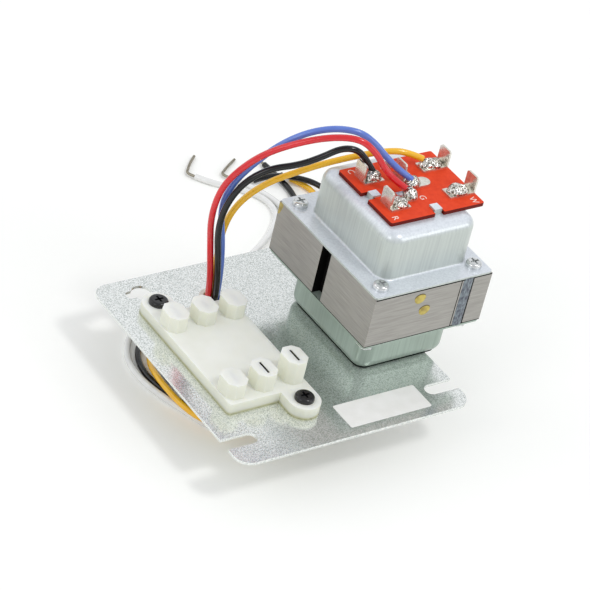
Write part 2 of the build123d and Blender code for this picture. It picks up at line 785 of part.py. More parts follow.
# Routes of the four jumpers, from the transformer or the relay up to the terminal board
jumper_routes = {
    "jumper_red": [
        (*red_end_hole, 1), (*red_end_hole, -7.5), (35, 7, -14), (24, 13.5, -16.2), (10, 22, -16.4),
        (-4, 30, -16.6), (*red_hole, -12), (*red_hole, 7), (-15, 36.7, 26), (-17, 37.9, 40),
        (-15.8, 37.2, 53), (-12, 34.5, 62.5), (-5.5, 29.5, 72.5), (3.5, 23, 80), (13.5, 16, 85.5),
        (22.5, 9.5, 87.2), (28.2, 5.4, 82.5), (32, 2.6, 76), (35.6, -0.6, 72.2), (39, -3.8, 70),
    ],
    "jumper_black": [
        (*black_end_hole, 3), (*black_end_hole, -5.5), (32, 7, -11.6), (20, 14, -13), (6, 22.6, -13.4),
        (-4.6, 29.2, -13.4), (*black_hole, -8), (*black_hole, 7), (-12.6, 33.4, 22), (-14.8, 34.7, 35),
        (-14, 34.4, 47), (-9.6, 32.1, 58.5), (-2, 28.2, 66), (7.5, 23.2, 69), (14.7, 19.8, 73.4),
        (20.8, 16.8, 78.4), (26.6, 14.2, 78.4), (30.6, 12, 74), (33, 9.8, 69.9),
    ],
    "jumper_blue": [
        (blade_column_x + tower_pitch, blade_rear_y, -7.4), (-8.8, 26.5, -7.6), (-6.1, 31.2, -6.2),
        (*blue_hole, -2.2), (*blue_hole, 9), (-10, 35.7, 26), (-13.2, 38.2, 44), (-10.8, 36.4, 56),
        (-6, 33.3, 65.5), (0.8, 29.2, 75.6), (8.9, 24.3, 83), (17.6, 19, 86.8), (26, 14, 86.6),
        (31.8, 10.8, 82.2), (36.2, 8, 77), (40.6, 3.6, 72.8), (45.2, 0.9, 69.6),
    ],
    "jumper_yellow": [
        (blade_column_x, blade_rear_y, -8.2), (-22.8, 29.3, -9.2), (-18, 34.6, -9.4), (-13.4, 38.6, -7),
        (*yellow_hole, -2.2), (*yellow_hole, 9), (-8.9, 38.9, 20), (-8.7, 39.2, 31), (-6.8, 38.4, 40.5),
        (-2.4, 36.3, 48.5), (4.5, 33.6, 55), (13.5, 30.2, 59.8), (24, 26.2, 64.8), (34.6, 21.1, 69.4),
        (44, 17, 72.3), (51.4, 13.8, 72.6), (57.6, 10.8, 70),
    ],
}

# Routes of the five leads, from under the transformer round the relay to their stripped ends behind the plate
lead_routes = {
    "lead_white_a": [
        (*white_a_hole, 1.5), (*white_a_hole, -9), (39.4, -6, -17.6), (29, -13.6, lead_z),
        (15, -18.4, lead_z), (1, -20, lead_z), (-11, -19.6, lead_z), (-20.6, -19.3, lead_z),
        (-29.4, -18, lead_z), (-37, -11.4, lead_z), (-40.4, -1, lead_z), (-44.4, 10, lead_z),
        (-46.9, 21, lead_z), (-46.2, 33, lead_z), (-40, 44, lead_z), (-29, 52.6, lead_z), (-15, 58, lead_z),
        (0, 61.8, lead_z), (16, 67, lead_z), (32, 73, lead_z), (47, 80.4, lead_z), (60, 89.6, lead_z),
        (68.4, 100, lead_z), (68.6, 111, lead_z), (60.5, 120.6, lead_z), (52, 127, lead_z),
        (47.6, 133.4, lead_z),
    ],
    "lead_white_b": [
        (*white_b_hole, 3), (*white_b_hole, -7), (29.6, 1.6, -15), (19, 6.4, lead_z), (7, 13.6, lead_z),
        (0, 23, lead_z), (1.4, 33.4, lead_z), (10.6, 41, lead_z), (23, 46, lead_z), (36, 50.8, lead_z),
        (48, 58.4, -17.4), (56, 68.6, -16.4), (62, 80, -16.4), (68.8, 92, -17.6), (73, 104.6, lead_z),
        (68.8, 117, lead_z), (62, 128, lead_z),
    ],
    "lead_black_a": [
        (*black_a_hole, 3), (*black_a_hole, -7), (32.4, -8.6, -14.6), (21, -13.4, -19), (7, -16.6, lead_z),
        (-6, -16.9, lead_z), (-17, -16.4, lead_z), (-26, -16, lead_z), (-33.4, -11.4, lead_z),
        (-36.8, -2, lead_z), (-40.4, 7, lead_z), (-43.2, 17, lead_z), (-43.4, 27, lead_z),
        (-39.8, 36.6, lead_z), (-31.4, 45, lead_z), (-20.6, 50.8, lead_z), (-11, 53.6, lead_z),
        (5, 57.2, lead_z), (21, 61.6, lead_z), (37, 67.6, lead_z), (52, 75, lead_z), (66, 84, lead_z),
        (77, 95.6, lead_z), (82.8, 108, lead_z), (83.6, 120.2, lead_z), (82.6, 132, lead_z),
    ],
    "lead_black_b": [
        (*black_b_hole, 2.5), (*black_b_hole, -8), (33, -4.6, -15.2), (22, -9.4, -18.4), (8, -13, -18.6),
        (-5, -15.8, -17), (-15.6, -16.8, -16.9), (-25.2, -16.8, -16.9), (-30.6, -12.8, -16.9),
        (-32.8, -3.6, -19.2), (-34.5, 7, lead_z), (-36.8, 18, lead_z), (-34.6, 29, lead_z),
        (-27.6, 38.4, lead_z), (-16, 43.6, lead_z), (-2, 46.8, lead_z), (14, 49.6, lead_z),
        (30, 54.2, lead_z), (46, 60.2, lead_z), (62, 67.6, lead_z), (78, 77, lead_z), (91, 88, lead_z),
        (98, 98.6, -18.6), (95, 109, -16.6), (86.4, 117, -16.6), (78, 121.2, -17.2), (71, 123, lead_z),
    ],
    "lead_yellow": [
        (*yellow_lead_hole, 3), (*yellow_lead_hole, -7), (37.4, -9.6, -14), (28, -18.4, -18.6),
        (15, -23, -19.4), (2, -23.8, -19.2), (-9, -22, -17.4), (-19, -20, -16.8), (-28.4, -18.8, -16.8),
        (-35.6, -14.8, -16.8), (-40.4, -8, -16.7), (-42.4, 1.5, -16.6), (-42.6, 11, -16.6),
        (-41.8, 20.2, -17), (-38.6, 29.2, -19.2), (-32.2, 38.2, lead_z), (-21.4, 45.4, lead_z),
        (-7, 49.8, lead_z), (9, 53.4, lead_z), (25, 57.8, lead_z), (41.5, 63.8, lead_z), (57, 71.2, lead_z),
        (72, 80.6, lead_z), (84.5, 91.4, lead_z), (91.6, 102.6, lead_z), (92.6, 112.4, lead_z),
        (88, 119.2, lead_z),
    ],
}

def bare_route(lead, straight, bends):
    """A stripped strand's route: straight on from the lead's end, then through its bends."""
    before, tip = Vector(*lead_routes[lead][-2]), Vector(*lead_routes[lead][-1])
    on = tip + (tip - before).normalized() * straight
    return [tuple(tip), tuple(on), *bends]


bare_routes = {
    "bare_end_white_a": bare_route("lead_white_a", 4, [(50.4, 142.6, -20), (56, 147.6, -20.3)]),
    "bare_end_white_b": bare_route("lead_white_b", 4, [(66, 136, -20), (72.2, 140, -20.3)]),
    "bare_end_black_a": bare_route("lead_black_a", 3.5, [(79.8, 137.6, -20.1)]),
    "bare_end_black_b": bare_route("lead_black_b", 2, [(68.2, 125.2, -20.3)]),
    "bare_end_yellow": bare_route("lead_yellow", 3, [(86.9, 124.4, -20.1)]),
}


def bend_radii(points):
    """The largest arc each corner allows: 0.45 of the shorter run over the tangent of half the turn."""
    spots = [Vector(*p) for p in points]
    radii = []
    for a, b, c in zip(spots, spots[1:], spots[2:]):
        half_turn = radians((b - a).get_angle(c - b)) / 2
        radii.append(0.45 * min((b - a).length, (c - b).length) / tan(half_turn))
    return radii


def wire(name, points, diameter):
    """A round wire along straight runs and tangent arcs, with its length and tightest bend printed."""
    radii = bend_radii(points)
    path = FilletPolyline(*points, radius=radii)
    solid = sweep(Plane(origin=path @ 0, z_dir=path % 0) * Circle(diameter / 2), path=path)
    expected = 3.14159265 * diameter ** 2 / 4 * path.length
    print(name, "length", round(path.length, 1), "radii", [round(r, 1) for r in radii],
          "volume over section times length", round(solid.volume / expected, 4))
    return solid


def write(name, shape):
    """Write one piece to its own file."""
    export_step(shape, "parts/" + name + ".step")


os.makedirs("parts", exist_ok=True)
write("mounting_plate", mounting_plate())
write("lead_bushing", bushing(core_at_x, 0, lead_bore_r, plate_t + sheet_t))
write("jumper_bushing", bushing(jumper_bush_x, jumper_bush_y, jumper_bore_r, plate_t))
write("lower_bell", lower_bell())
write("upper_bell", upper_bell())
write("e_laminations", e_laminations())
write("i_laminations", i_laminations())
write("weld_beads", weld_beads())
write("coil_bobbin", coil_bobbin())
write("primary_winding", coil_layer(0, primary_build))
write("secondary_winding", coil_layer(primary_build, secondary_build))
write("coil_wrap", coil_layer(primary_build + secondary_build, wrap_t))
write("clamp_screws", clamp_screws())
write("clamp_nuts", clamp_nuts())
write("terminal_board", terminal_board())
write("terminal_c", terminal_c())
write("terminal_r", terminal_r())
write("terminal_g", terminal_g())
write("terminal_y", terminal_y())
write("terminal_w", terminal_w())
write("board_eyelets", board_eyelets())
write("solder_joints", solder_joints())
write("relay_base", relay_base())
write("relay_screws", relay_screws())
write("relay_blade_front_left", straight_blade("front_left", -blade_tail))
write("relay_blade_front_middle", contact_blade("front_middle", closed_foot_z, relay_x + contact_r))
write("relay_blade_front_right", contact_blade("front_right", open_foot_z, relay_x - contact_r))
for rear_blade in ("rear_left", "rear_middle", "rear_right"):
    write("relay_blade_" + rear_blade, straight_blade(rear_blade, -blade_tail))
write("relay_yoke", relay_yoke())
write("relay_pole", relay_pole())
write("relay_spool", relay_spool())
write("relay_winding", relay_winding())
write("armature_pin", armature_pin())
write("relay_armature", relay_armature())
write("contact_leaf", contact_leaf())
write("moving_contact", moving_contact())
write("fixed_contacts", fixed_contacts())
write("return_spring", return_spring())
for node, route in {**jumper_routes, **lead_routes}.items():
    write(node, wire(node, route, wire_d))
for node, route in bare_routes.items():
    write(node, wire(node, route, bare_d))
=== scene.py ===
"""Looks of a control transformer with a fan relay on a box-cover plate, laid out as a Blender add-on."""
import math

import bmesh
import bpy
import numpy as np
from mathutils import Matrix, Vector


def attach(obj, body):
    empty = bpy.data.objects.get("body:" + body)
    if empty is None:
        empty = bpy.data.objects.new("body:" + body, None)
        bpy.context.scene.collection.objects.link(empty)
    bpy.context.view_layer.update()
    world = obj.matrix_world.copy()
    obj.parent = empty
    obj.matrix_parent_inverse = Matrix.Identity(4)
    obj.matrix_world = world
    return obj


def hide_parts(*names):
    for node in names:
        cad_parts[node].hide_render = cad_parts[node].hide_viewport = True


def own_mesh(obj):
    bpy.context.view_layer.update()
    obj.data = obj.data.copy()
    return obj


bl_info = {
    "name": "Fan-control transformer",
    "version": (1, 0, 0),
    "blender": (4, 5, 0),
    "location": "View3D > Sidebar > Transformer",
    "description": "Dresses a transformer and relay on a box-cover plate with materials and wires",
    "category": "Object",
}

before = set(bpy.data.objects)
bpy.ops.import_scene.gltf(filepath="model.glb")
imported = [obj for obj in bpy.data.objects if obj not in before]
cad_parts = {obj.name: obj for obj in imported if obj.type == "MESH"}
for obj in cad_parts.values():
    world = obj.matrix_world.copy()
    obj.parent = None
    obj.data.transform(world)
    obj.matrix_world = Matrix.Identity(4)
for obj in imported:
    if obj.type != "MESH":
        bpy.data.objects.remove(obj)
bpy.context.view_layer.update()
BODY = "transformer"
MM = 0.001

# Places on the part in millimetres
PLATE_TOP = 1.2
BOARD_TOP = 66.9
CORE_LEFT = 11.35
CORE_FRONT = -33.3
CORE_LOW = 22.0
CORE_TOP = 44.5
JUMPER_BUSHING = (-10.3, 34.6)
JUMPER_RING = 1.95
LEAD_BUSHING = (39.1, 0)
LEAD_RING = 2.9
LEAD_LOW = -19.7

# How far paint and print stand off what they lie on, in millimetres
PAINT = 0.02

# A face counts as a side where its normal's Z is below the first value, and fully up above the second
SIDE_Z, UP_Z = 0.25, 0.85
COAT_ROUGH = 0.12

# Sockets of a Mix node that mixes colours
MIX_SHARE, MIX_COLOUR, MIX_TINT, MIX_RESULT = 0, 6, 7, 2


def srgb(red, green, blue):
    """Linear colour of a colour as it is seen on screen, each from 0 to 255."""
    out = []
    for value in (red, green, blue):
        s = value / 255
        out.append(s / 12.92 if s <= 0.04045 else ((s + 0.055) / 1.055) ** 2.4)
    return (*out, 1.0)


def colour_setting(name, description, red, green, blue):
    """A colour that a user can change, given as it is seen on screen."""
    return bpy.props.FloatVectorProperty(
        name=name, description=description, default=srgb(red, green, blue), size=4, min=0.0, max=1.0,
        subtype="COLOR",
    )


def size_setting(name, description, default, low, high):
    """A size in millimetres that a user can change, between low and high."""
    return bpy.props.FloatProperty(
        name=name + " (mm)", description=description, default=default, min=low, max=high,
    )


def angle_setting(name, description, degrees):
    """An angle that a user can change."""
    return bpy.props.FloatProperty(
        name=name, description=description, default=math.radians(degrees), subtype="ANGLE",
    )


def node_group(material):
    """The material's node tree, its shader and a function that adds a node."""
    material.use_nodes = True
    tree = material.node_tree
    shader = tree.nodes["Principled BSDF"]

    def add(kind, **values):
        node = tree.nodes.new(kind)
        for key, value in values.items():
            setattr(node, key, value)
        return node

    return tree, shader, add


def tint_low(tree, add, vector, low, high, colour, tint):
    """Multiplies a colour by a tint, fully where the vector's Z is below low and not at all above high."""
    parts = add("ShaderNodeSeparateXYZ")
    tree.links.new(vector, parts.inputs["Vector"])
    share = add("ShaderNodeMapRange")
    share.inputs["From Min"].default_value = low
    share.inputs["From Max"].default_value = high
    share.inputs["To Min"].default_value = 1.0
    share.inputs["To Max"].default_value = 0.0
    tree.links.new(parts.outputs["Z"], share.inputs["Value"])
    mix = add("ShaderNodeMix", data_type="RGBA", blend_type="MULTIPLY")
    mix.inputs[MIX_TINT].default_value = tint
    tree.links.new(share.outputs["Result"], mix.inputs[MIX_SHARE])
    tree.links.new(colour, mix.inputs[MIX_COLOUR])
    return mix.outputs[MIX_RESULT]


def surface(name, light, dark, rough, metal=0.0, stretch=(1, 1, 1), size=4.0, detail=3.0, bump=0.0, low=0.35,
            high=0.65, coat=0.0, specular=0.5, side=None, relief_mm=0.1):
    """A shader whose colour runs between two values by stretched noise, with a matching bump.

    size is the grain in millimetres and stretch divides it along each axis. low and high are the noise values
    of the dark and the light colour. side is a tint that multiplies the colour of faces that don't look up;
    on the bells and the relay's nylon it paints the light and reflection that fall differently on walls and
    tops.
    """
    material = bpy.data.materials.new(name)
    tree, shader, add = node_group(material)
    shader.inputs["Roughness"].default_value = rough
    shader.inputs["Metallic"].default_value = metal
    shader.inputs["Coat Weight"].default_value = coat
    shader.inputs["Coat Roughness"].default_value = COAT_ROUGH
    shader.inputs["Specular IOR Level"].default_value = specular
    place = add("ShaderNodeTexCoord")
    mapping = add("ShaderNodeMapping")
    mapping.inputs["Scale"].default_value = [s / (size * MM) for s in stretch]
    tree.links.new(place.outputs["Object"], mapping.inputs["Vector"])
    noise = add("ShaderNodeTexNoise")
    noise.inputs["Scale"].default_value = 1.0
    noise.inputs["Detail"].default_value = detail
    tree.links.new(mapping.outputs["Vector"], noise.inputs["Vector"])
    ramp = add("ShaderNodeValToRGB")
    first, last = ramp.color_ramp.elements
    first.position, first.color = low, dark
    last.position, last.color = high, light
    tree.links.new(noise.outputs["Fac"], ramp.inputs["Fac"])
    colour = ramp.outputs["Color"]
    if side:
        colour = tint_low(tree, add, place.outputs["Normal"], SIDE_Z, UP_Z, colour, side)
    tree.links.new(colour, shader.inputs["Base Color"])
    if bump:
        relief = add("ShaderNodeBump")
        relief.inputs["Strength"].default_value = bump
        relief.inputs["Distance"].default_value = relief_mm * MM
        tree.links.new(noise.outputs["Fac"], relief.inputs["Height"])
        tree.links.new(relief.outputs["Normal"], shader.inputs["Normal"])
    return material


def paint(material, *nodes):
    """Gives CAD nodes a material."""
    for node in nodes:
        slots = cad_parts[node].data.materials
        if len(slots) == 0:
            slots.append(material)
        for k in range(len(slots)):
            slots[k] = material


def mesh_piece(name, points, faces, material, smooth=True):
    """A new mesh piece at the origin, from points in millimetres, that rides on the plate's body."""
    mesh = bpy.data.meshes.new(name)
    mesh.from_pydata((np.asarray(points) * MM).tolist(), [], [tuple(face) for face in faces])
    mesh.update()
    mesh.polygons.foreach_set("use_smooth", np.full(len(mesh.polygons), smooth))
    piece = bpy.data.objects.new(name, mesh)
    bpy.context.collection.objects.link(piece)
    mesh.materials.append(material)
    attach(piece, BODY)
    return piece


def patches(name, material, quads):
    """Thin painted patches: one flat quad each, corners in millimetres."""
    faces = np.arange(4 * len(quads)).reshape(-1, 4).tolist()
    mesh_piece(name, np.array(quads).reshape(-1, 3), faces, material, smooth=False)


def ring_faces(rings, turns, start=0):
    """Quads between neighbouring rings of a grid that closes on itself, counted from the point start."""
    ring = start + np.arange(rings - 1)[:, None] * turns
    here = np.arange(turns)[None, :]
    after = (here + 1) % turns
    corners = [ring + here, ring + after, ring + turns + after, ring + turns + here]
    return np.stack(corners, axis=-1).reshape(-1, 4).tolist()


def polar_grid(rings, turns, inner):
    """Shares of the radius from 1 down to inner, as a column, and angles of a full turn, as a row."""
    share = np.linspace(1, inner, rings)[:, None]
    angle = np.linspace(0, 2 * np.pi, turns, endpoint=False)[None, :]
    return share, angle


def rounded_outline(middle, half, radius, steps, z):
    """A rounded rectangle at a height z.

    Each point is its corner's centre, half less radius from the middle along each axis, plus radius times
    the cosine and sine of the turn.
    """
    turn = (np.arange(steps) + 0.5) * 2 * np.pi / steps
    x = middle[0] + np.sign(np.cos(turn)) * (half[0] - radius) + radius * np.cos(turn)
    y = middle[1] + np.sign(np.sin(turn)) * (half[1] - radius) + radius * np.sin(turn)
    return np.stack([x, y, np.full(steps, z)], axis=1)


def rounded_copy(node, width, material):
    """A merged copy of a CAD node whose sharp edges are rounded by width millimetres, in the node's place."""
    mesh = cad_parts[node].data.copy()
    work = bmesh.new()
    work.from_mesh(mesh)
    bmesh.ops.remove_doubles(work, verts=work.verts, dist=0.001 * MM)
    bmesh.ops.dissolve_limit(work, angle_limit=math.radians(0.5), verts=work.verts, edges=work.edges)
    work.to_mesh(mesh)
    work.free()
    mesh.polygons.foreach_set("use_smooth", np.full(len(mesh.polygons), True))
    mesh.materials.clear()
    mesh.materials.append(material)
    piece = bpy.data.objects.new(node + "_rounded", mesh)
    bpy.context.collection.objects.link(piece)
    bevel = piece.modifiers.new("edges", "BEVEL")
    bevel.width = width * MM
    bevel.segments = 2
    bevel.limit_method = "ANGLE"
    bevel.angle_limit = math.radians(35)
    bevel.harden_normals = True
    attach(piece, BODY)
    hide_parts(node)
    return piece


def ring_place(middle, radius, degrees):
    """A wire's place in a bushing, on the ring of its neighbours."""
    turn = math.radians(degrees)
    return (middle[0] + radius * math.cos(turn), middle[1] + radius * math.sin(turn))


def jumper_routes():
    """The four jumpers' points in millimetres, as in the part."""
    red, black, blue, yellow = [ring_place(JUMPER_BUSHING, JUMPER_RING, a) for a in (180, 270, 0, 90)]
    red_end, black_end = [ring_place(LEAD_BUSHING, LEAD_RING, a) for a in (60, 120)]
    return {
        "jumper_red": [
            (*red_end, 1), (*red_end, -7.5), (35, 7, -14), (24, 13.5, -16.2), (10, 22, -16.4),
            (-4, 30, -16.6), (*red, -12), (*red, 7), (-15, 36.7, 26), (-17, 37.9, 40), (-15.8, 37.2, 53),
            (-12, 34.5, 62.5), (-5.5, 29.5, 72.5), (3.5, 23, 80), (13.5, 16, 85.5), (22.5, 9.5, 87.2),
            (28.2, 5.4, 82.5), (32, 2.6, 76), (35.6, -0.6, 72.2), (39, -3.8, 70),
        ],
        "jumper_black": [
            (*black_end, 3), (*black_end, -5.5), (32, 7, -11.6), (20, 14, -13), (6, 22.6, -13.4),
            (-4.6, 29.2, -13.4), (*black, -8), (*black, 7), (-12.6, 33.4, 22), (-14.8, 34.7, 35),
            (-14, 34.4, 47), (-9.6, 32.1, 58.5), (-2, 28.2, 66), (7.5, 23.2, 69), (14.7, 19.8, 73.4),
            (20.8, 16.8, 78.4), (26.6, 14.2, 78.4), (30.6, 12, 74), (33, 9.8, 69.9),
        ],
        "jumper_blue": [
            (-11.35, 23.375, -7.4), (-8.8, 26.5, -7.6), (-6.1, 31.2, -6.2), (*blue, -2.2), (*blue, 9),
            (-10, 35.7, 26), (-13.2, 38.2, 44), (-10.8, 36.4, 56), (-6, 33.3, 65.5), (0.8, 29.2, 75.6),
            (8.9, 24.3, 83), (17.6, 19, 86.8), (26, 14, 86.6), (31.8, 10.8, 82.2), (36.2, 8, 77),
            (40.6, 3.6, 72.8), (45.2, 0.9, 69.6),
        ],
        "jumper_yellow": [
            (-24.65, 23.375, -8.2), (-22.8, 29.3, -9.2), (-18, 34.6, -9.4), (-13.4, 38.6, -7),
            (*yellow, -2.2), (*yellow, 9), (-8.9, 38.9, 20), (-8.7, 39.2, 31), (-6.8, 38.4, 40.5),
            (-2.4, 36.3, 48.5), (4.5, 33.6, 55), (13.5, 30.2, 59.8), (24, 26.2, 64.8), (34.6, 21.1, 69.4),
            (44, 17, 72.3), (51.4, 13.8, 72.6), (57.6, 10.8, 70),
        ],
    }


def lead_routes():
    """The five leads' points in millimetres, as in the part."""
    low = LEAD_LOW
    places = [ring_place(LEAD_BUSHING, LEAD_RING, a) for a in (0, 180, 240, 300)]
    white_a, white_b, black_a, yellow = places
    return {
        "lead_white_a": [
            (*white_a, 1.5), (*white_a, -9), (39.4, -6, -17.6), (29, -13.6, low), (15, -18.4, low),
            (1, -20, low), (-11, -19.6, low), (-20.6, -19.3, low), (-29.4, -18, low), (-37, -11.4, low),
            (-40.4, -1, low), (-44.4, 10, low), (-46.9, 21, low), (-46.2, 33, low), (-40, 44, low),
            (-29, 52.6, low), (-15, 58, low), (0, 61.8, low), (16, 67, low), (32, 73, low), (47, 80.4, low),
            (60, 89.6, low), (68.4, 100, low), (68.6, 111, low), (60.5, 120.6, low), (52, 127, low),
            (47.6, 133.4, low),
        ],
        "lead_white_b": [
            (*white_b, 3), (*white_b, -7), (29.6, 1.6, -15), (19, 6.4, low), (7, 13.6, low), (0, 23, low),
            (1.4, 33.4, low), (10.6, 41, low), (23, 46, low), (36, 50.8, low), (48, 58.4, -17.4),
            (56, 68.6, -16.4), (62, 80, -16.4), (68.8, 92, -17.6), (73, 104.6, low), (68.8, 117, low),
            (62, 128, low),
        ],
        "lead_black_a": [
            (*black_a, 3), (*black_a, -7), (32.4, -8.6, -14.6), (21, -13.4, -19), (7, -16.6, low),
            (-6, -16.9, low), (-17, -16.4, low), (-26, -16, low), (-33.4, -11.4, low), (-36.8, -2, low),
            (-40.4, 7, low), (-43.2, 17, low), (-43.4, 27, low), (-39.8, 36.6, low), (-31.4, 45, low),
            (-20.6, 50.8, low), (-11, 53.6, low), (5, 57.2, low), (21, 61.6, low), (37, 67.6, low),
            (52, 75, low), (66, 84, low), (77, 95.6, low), (82.8, 108, low), (83.6, 120.2, low),
            (82.6, 132, low),
        ],
        "lead_black_b": [
            (*LEAD_BUSHING, 2.5), (*LEAD_BUSHING, -8), (33, -4.6, -15.2), (22, -9.4, -18.4),
            (8, -13, -18.6), (-5, -15.8, -17), (-15.6, -16.8, -16.9), (-25.2, -16.8, -16.9),
            (-30.6, -12.8, -16.9), (-32.8, -3.6, -19.2), (-34.5, 7, low), (-36.8, 18, low),
            (-34.6, 29, low), (-27.6, 38.4, low), (-16, 43.6, low), (-2, 46.8, low), (14, 49.6, low),
            (30, 54.2, low), (46, 60.2, low), (62, 67.6, low), (78, 77, low), (91, 88, low),
            (98, 98.6, -18.6), (95, 109, -16.6), (86.4, 117, -16.6), (78, 121.2, -17.2), (71, 123, low),
        ],
        "lead_yellow": [
            (*yellow, 3), (*yellow, -7), (37.4, -9.6, -14), (28, -18.4, -18.6), (15, -23, -19.4),
            (2, -23.8, -19.2), (-9, -22, -17.4), (-19, -20, -16.8), (-28.4, -18.8, -16.8),
            (-35.6, -14.8, -16.8), (-40.4, -8, -16.7), (-42.4, 1.5, -16.6), (-42.6, 11, -16.6),
            (-41.8, 20.2, -17), (-38.6, 29.2, -19.2), (-32.2, 38.2, low), (-21.4, 45.4, low),
            (-7, 49.8, low), (9, 53.4, low), (25, 57.8, low), (41.5, 63.8, low), (57, 71.2, low),
            (72, 80.6, low), (84.5, 91.4, low), (91.6, 102.6, low), (92.6, 112.4, low), (88, 119.2, low),
        ],
    }


class StageSettings(bpy.types.PropertyGroup):
    """Camera and floor."""

    floor_level: size_setting("Floor level", "Height of the floor that the leads lie on", -21.05, -60.0, 0.0)
    azimuth: angle_setting("Camera azimuth", "Turn of the camera about the upright axis", -41.66)
    elevation: angle_setting("Camera elevation", "Angle that the camera looks down at", 35.458)
    roll: angle_setting("Camera roll", "Turn of the camera about its own line of sight", 13.93)
    lens: size_setting("Lens", "Focal length on a sensor 36 mm wide", 170.2, 20.0, 400.0)
    paper: colour_setting("Floor", "Colour of the floor paper", 251, 251, 248)


class WireSettings(bpy.types.PropertyGroup):
    """Size and colours of the wires."""

    diameter: size_setting("Wire diameter", "Width of a wire over its sleeve", 2.6, 1.0, 4.0)
    red: colour_setting("Red", "Sleeve of the red wire", 222, 14, 30)
    black: colour_setting("Black", "Sleeve of the black wires", 7, 7, 8)
    blue: colour_setting("Blue", "Sleeve of the blue wire", 96, 128, 212)
    yellow: colour_setting("Yellow", "Sleeve of the yellow wires", 252, 194, 26)
    white: colour_setting("White", "Sleeve of the white wires", 240, 240, 238)


class MetalSettings(bpy.types.PropertyGroup):
    """Colours of the sheet metal and the core."""

    plate: colour_setting("Plate", "Galvanised plate, light grain", 247, 249, 247)
    # Both bells are the same drawn zinc. The upper bell's lavender-white is painted reflection of the sky;
    # the lower bell's darker, greener colour is painted shade and painted reflection.
    upper_bell: colour_setting("Upper bell", "Drawn zinc, light streaks", 233, 238, 244)
    lower_bell: colour_setting("Lower bell", "Drawn zinc with a green cast, light streaks", 181, 195, 185)
    core: colour_setting("Core", "Edges of the laminations, light lines", 175, 172, 166)


class BoardSettings(bpy.types.PropertyGroup):
    """Sizes and colours on the terminal board."""

    fibre: colour_setting("Board", "Red fibre of the board", 234, 73, 35)
    ink: colour_setting("Letters", "Pale ink of the terminal letters", 250, 226, 216)
    letter_height: size_setting("Letter height", "Height of the terminal letters", 2.7, 1.0, 6.0)
    solder_radius: size_setting("Solder radius", "Radius of a mound of solder", 3.4, 1.0, 5.0)
    solder_height: size_setting("Solder height", "Height of a mound of solder", 3.0, 0.5, 4.0)


class RelaySettings(bpy.types.PropertyGroup):
    """The relay's nylon base."""

    nylon: colour_setting("Relay base", "Natural nylon of the relay's base", 240, 241, 234)
    edge: size_setting("Rounded edge", "Width of the base's rounded edges", 0.45, 0.1, 1.0)


class LabelSettings(bpy.types.PropertyGroup):
    """The bare label on the plate."""

    width: size_setting("Label width", "Width of the label along the plate's front", 38.2, 5.0, 80.0)
    depth: size_setting("Label depth", "Depth of the label, front to back", 13.3, 5.0, 40.0)
    paper: colour_setting("Label", "Colour of the label", 244, 243, 240)


class TRANSFORMER_OT_stage(bpy.types.Operator):
    """Places the camera, the floor and the lights"""

    bl_idname = "transformer.stage"
    bl_label = "Camera, floor and light"

    sensor = 36.0
    camera_place = (-0.5750, -0.6473, 0.6425)
    floor_reach = 6.0
    sky_colour = (0.95, 0.97, 1.0, 1.0)
    sky_strength = 0.7
    lamp_aim = (0.02, 0.0, 0.03)
    # Name, place in metres, size in metres and power in watts
    lamps = (
        ("key", (0.6, -1.0, 2.0), 0.4, 11.0),
        ("right", (1.25, -1.5, 0.9), 0.8, 4.0),
        ("fill", (-1.6, -0.3, 1.2), 0.8, 4.0),
        ("side", (-1.3, 1.3, 1.15), 1.6, 5.0),
        ("back", (1.1, 1.25, 1.25), 2.4, 4.0),
    )

    def execute(self, context):
        scene = context.scene
        settings = scene.transformer_stage
        scene.view_settings.view_transform = "Standard"
        self.camera(scene, settings)
        self.floor(scene, settings)
        self.light(scene)
        return {"FINISHED"}

    def camera(self, scene, settings):
        """Puts the camera in its place.

        Its axes are the level line and the rise across the line of sight, both turned by the roll.
        """
        camera = bpy.data.objects.new("camera", bpy.data.cameras.new("camera"))
        scene.collection.objects.link(camera)
        camera.data.sensor_width = self.sensor
        camera.data.lens = settings.lens
        camera.data.clip_end = 10.0
        azimuth, elevation, roll = settings.azimuth, settings.elevation, settings.roll
        flat = math.cos(elevation)
        back = Vector((math.sin(azimuth) * flat, -math.cos(azimuth) * flat, math.sin(elevation)))
        level = Vector((math.cos(azimuth), math.sin(azimuth), 0.0))
        rise = back.cross(level)
        right = level * math.cos(roll) + rise * math.sin(roll)
        up = rise * math.cos(roll) - level * math.sin(roll)
        turn = Matrix((right, up, back)).transposed().to_4x4()
        camera.matrix_world = Matrix.Translation(self.camera_place) @ turn
        scene.camera = camera

    def floor(self, scene, settings):
        """Lays a flat sheet of pale paper below the leads, with a faint glow of its own."""
        z, reach = settings.floor_level * MM, self.floor_reach
        corners = [(-reach, -reach, z), (reach, -reach, z), (reach, reach, z), (-reach, reach, z)]
        mesh = bpy.data.meshes.new("floor")
        mesh.from_pydata(corners, [], [(0, 1, 2, 3)])
        floor = bpy.data.objects.new("floor", mesh)
        scene.collection.objects.link(floor)
        paper = surface("floor paper", settings.paper, srgb(249, 249, 246), rough=0.9, size=400, specular=0.1)
        glow = paper.node_tree.nodes["Principled BSDF"]
        glow.inputs["Emission Color"].default_value = (1.0, 1.0, 0.98, 1.0)
        glow.inputs["Emission Strength"].default_value = 0.07
        mesh.materials.append(paper)

    def light(self, scene):
        """Sets a pale sky and five square lamps that look at the object."""
        world = bpy.data.worlds.new("studio")
        scene.world = world
        world.use_nodes = True
        sky = world.node_tree.nodes["Background"]
        sky.inputs["Color"].default_value = self.sky_colour
        sky.inputs["Strength"].default_value = self.sky_strength
        for name, place, size, power in self.lamps:
            light = bpy.data.lights.new(name, "AREA")
            light.size = size
            light.energy = power
            lamp = bpy.data.objects.new(name, light)
            scene.collection.objects.link(lamp)
            lamp.location = place
            aim = Vector(self.lamp_aim) - Vector(place)
            lamp.rotation_euler = aim.to_track_quat("-Z", "Y").to_euler()


